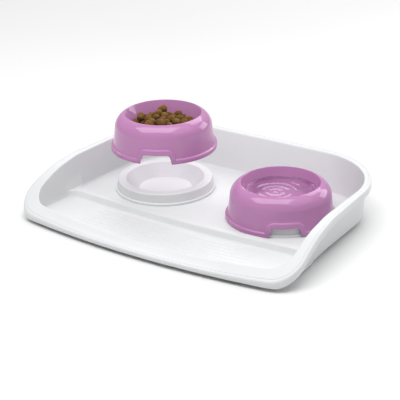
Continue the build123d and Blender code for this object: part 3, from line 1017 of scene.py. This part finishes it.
def moulded_plastic(name, low, high, rough_low, rough_high, peel_depth, specular):
    """Moulded plastic: a faint cloud of two near shades, a drifting roughness and a shallow peel."""
    look = Look(name)
    cloud = look.noise(scale=14.0, detail=3.0)
    drift = look.noise(scale=55.0, detail=4.0, roughness=0.6)
    peel = look.noise(scale=420.0, detail=2.0)
    return look.shaded({
        "Base Color": look.colour(cloud, low, high, start=0.3, end=0.7),
        "Roughness": look.value(drift, rough_low, rough_high),
        "Normal": look.bump(peel, strength=peel_depth, distance=0.0004),
        "Specular IOR Level": specular,
    })


def baked_crumb(name, low, high, painted_shade_colour):
    """Baked dry food: patches of two browns, painted shade deep between the pellets, and a rough crust."""
    look = Look(name)
    batch = look.noise(scale=130.0, detail=5.0, roughness=0.7)
    crust = look.noise(scale=380.0, detail=5.0, roughness=0.7)
    open_share = look.nodes.new("ShaderNodeAttribute")
    open_share.attribute_name = "open_to_light"
    # Painted shade: the brown runs to the dark colour where a spot lies less open to light
    painted_shade_mix = look.nodes.new("ShaderNodeMix")
    painted_shade_mix.data_type = "RGBA"
    brown = look.colour(batch, low, high, start=0.32, end=0.68)
    look.feed(painted_shade_mix, {0: open_share.outputs["Fac"], 6: (*painted_shade_colour, 1.0), 7: brown})
    return look.shaded({
        "Base Color": painted_shade_mix.outputs[2],
        "Roughness": look.value(crust, low=0.75, high=0.95),
        "Normal": look.bump(crust, strength=0.9, distance=0.0022),
        "Specular IOR Level": 0.25,
    })


def clear_water(name):
    """Water: it lets light through, greyed a little as painted shade, and its nearly smooth surface has a
    fine shiver.
    """
    look = Look(name)
    shiver = look.noise(scale=120.0, detail=2.0)
    return look.shaded({
        # Grey as painted shade, in place of the shadow that the water doesn't cast
        "Base Color": (0.66, 0.67, 0.68, 1.0),
        "Roughness": 0.05,
        "Normal": look.bump(shiver, strength=0.1, distance=0.0006),
        "IOR": 1.333,
        "Transmission Weight": 1.0,
    })


def paint(piece, material):
    """The piece wears one material in place of any it had."""
    piece.data.materials.clear()
    piece.data.materials.append(material)


def stand_at(thing, right, up, back, spot):
    """The thing stands at a spot, in metres, with its three axes along the given directions."""
    columns = np.eye(4)
    columns[:, :3] = right, up, back, spot
    thing.matrix_world = columns.tolist()


def place_camera():
    """The camera is turned, raised and rolled, and stands back from its aim along its own axis."""
    back = math.cos(CAMERA_RISE) * TOWARDS_CAMERA + math.sin(CAMERA_RISE) * UPRIGHT
    steep = np.cross(back, ACROSS_CAMERA)
    right = math.cos(CAMERA_ROLL) * ACROSS_CAMERA + math.sin(CAMERA_ROLL) * steep
    up = math.cos(CAMERA_ROLL) * steep - math.sin(CAMERA_ROLL) * ACROSS_CAMERA
    spot = CAMERA_AWAY * back + CAMERA_ASIDE * right + CAMERA_UP * up + np.array(CAMERA_AIM)
    data = bpy.data.cameras.new("camera")
    data.sensor_fit = "HORIZONTAL"
    data.sensor_width = SENSOR
    data.lens = CAMERA_FOCAL_PIXELS / FRAME_PIXELS * SENSOR
    data.clip_start = CAMERA_NEAR
    data.clip_end = CAMERA_FAR
    camera = bpy.data.objects.new("camera", data)
    bpy.context.scene.collection.objects.link(camera)
    stand_at(camera, right, up, back, spot * MM)
    bpy.context.scene.camera = camera


def studio_floor():
    """A wide level sheet just under the tray, whose pale shade drifts slightly."""
    along = np.linspace(-STUDIO_REACH, STUDIO_REACH, 3)
    x, y = np.meshgrid(along, along)
    points = np.column_stack([x.ravel(), y.ravel(), np.full(x.size, STUDIO_LEVEL)])
    floor = put_mesh("studio_floor", points, grid_faces(3, 3, closed=False))
    look = Look("pale_floor")
    cloud = look.noise(scale=2.0, detail=2.0)
    shade = look.colour(cloud, (0.8, 0.8, 0.8), (0.82, 0.82, 0.82), start=0.3, end=0.7)
    paint(floor, look.shaded({"Base Color": shade, "Roughness": 0.9, "Specular IOR Level": 0.1}))


def studio_world(strength):
    """An even white surround."""
    world = bpy.data.worlds.new("studio")
    bpy.context.scene.world = world
    world.use_nodes = True
    background = world.node_tree.nodes["Background"]
    background.inputs["Color"].default_value = (1, 1, 1, 1)
    background.inputs["Strength"].default_value = strength


def soft_box(name, spot, aim, along, width, height, power):
    """A rectangular lamp at a spot, in metres, that faces an aim and whose width runs along a line."""
    data = bpy.data.lights.new(name, "AREA")
    data.shape = "RECTANGLE"
    data.size = width
    data.size_y = height
    data.energy = power
    lamp = bpy.data.objects.new(name, data)
    bpy.context.scene.collection.objects.link(lamp)
    away = np.subtract(spot, aim)
    away = away / np.linalg.norm(away)
    side = along - np.dot(along, away) * away
    side = side / np.linalg.norm(side)
    stand_at(lamp, side, np.cross(away, side), away, spot)
    return lamp


white_plastic = moulded_plastic(
    "white_plastic", low=(0.66, 0.673, 0.68), high=(0.685, 0.698, 0.705),
    rough_low=0.34, rough_high=0.44, peel_depth=0.05, specular=0.4,
)
pink_plastic = moulded_plastic(
    "pink_plastic", low=(0.46, 0.203, 0.407), high=(0.485, 0.216, 0.432),
    rough_low=0.045, rough_high=0.075, peel_depth=0.03, specular=0.5,
)
foot_rubber = moulded_plastic(
    "grey_rubber", low=(0.22, 0.22, 0.225), high=(0.28, 0.28, 0.285),
    rough_low=0.7, rough_high=0.85, peel_depth=0.3, specular=0.3,
)

# Finer surfaces in place of the solids
tray = tray_surface()
paint(tray, white_plastic)
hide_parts("tray")
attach(tray, "tray")

for depth, foot_y in (("front", FOOT_FRONT_Y), ("back", FOOT_BACK_Y)):
    for hand, side in (("left", -1), ("right", 1)):
        pad = foot_surface(f"pad_{depth}_{hand}", side * FOOT_X, foot_y)
        paint(pad, foot_rubber)
        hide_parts(f"foot_{depth}_{hand}")
        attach(pad, "tray")

for name, seat_x, base, turn in (
    ("food_bowl", -SEAT_X, FOOD_BASE, FOOD_TURN),
    ("water_bowl", SEAT_X, WATER_BASE, WATER_TURN),
):
    bowl = bowl_surface(name + "_shell", seat_x, base, turn)
    paint(bowl, pink_plastic)
    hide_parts(name)
    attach(bowl, name)

# What the bowls hold
food = dry_food_heap("dry_food", -SEAT_X, FOOD_BASE)
# Two browns for the dry food, then the dark brown of the painted shade deep in the heap
paint(food, baked_crumb("baked_brown", (0.1, 0.048, 0.01), (0.29, 0.15, 0.038), (0.022, 0.009, 0.003)))
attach(food, "food_bowl")

water = water_body("water", SEAT_X, WATER_BASE)
paint(water, clear_water("clear_water"))
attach(water, "water_bowl")
# The water casts no shadow; the grey of its colour paints that shade in instead
water.visible_shadow = False

# Camera, floor and lamps
place_camera()
studio_floor()
studio_world(0.42)
overhead = soft_box(
    "overhead_box", spot=(-0.17, -0.49, 1.4), aim=(-0.17, -0.49, 0.0), along=(0.885, 0.465, 0.0),
    width=1.75, height=1.0, power=19.5,
)
soft_box(
    "back_box", spot=(0.55, 1.1, 0.45), aim=(0.0, 0.0, 0.05), along=(0.89, -0.45, 0.0),
    width=0.6, height=0.5, power=2.6,
)
soft_box(
    "backdrop_box", spot=(-1.2, 3.2, 2.6), aim=(-1.2, 3.4, 0.0), along=(1.0, 0.0, 0.0),
    width=4.4, height=3.0, power=105.0,
)
soft_box(
    "right_box", spot=(1.0, 0.1, 1.5), aim=(0.0, 0.0, 0.05), along=(0.0, 1.0, 0.0),
    width=1.6, height=1.2, power=4.5,
)

# The lifted bowl throws no shadow of the overhead lamp on its seat, as in the photograph
unshaded = bpy.data.collections.new("unshaded")
unshaded.objects.link(bpy.data.objects["food_bowl_shell"])
unshaded.objects.link(food)
overhead.light_linking.blocker_collection = unshaded
for entry in unshaded.collection_objects:
    entry.light_linking.link_state = "EXCLUDE"
bpy.context.scene.view_settings.view_transform = "Standard"
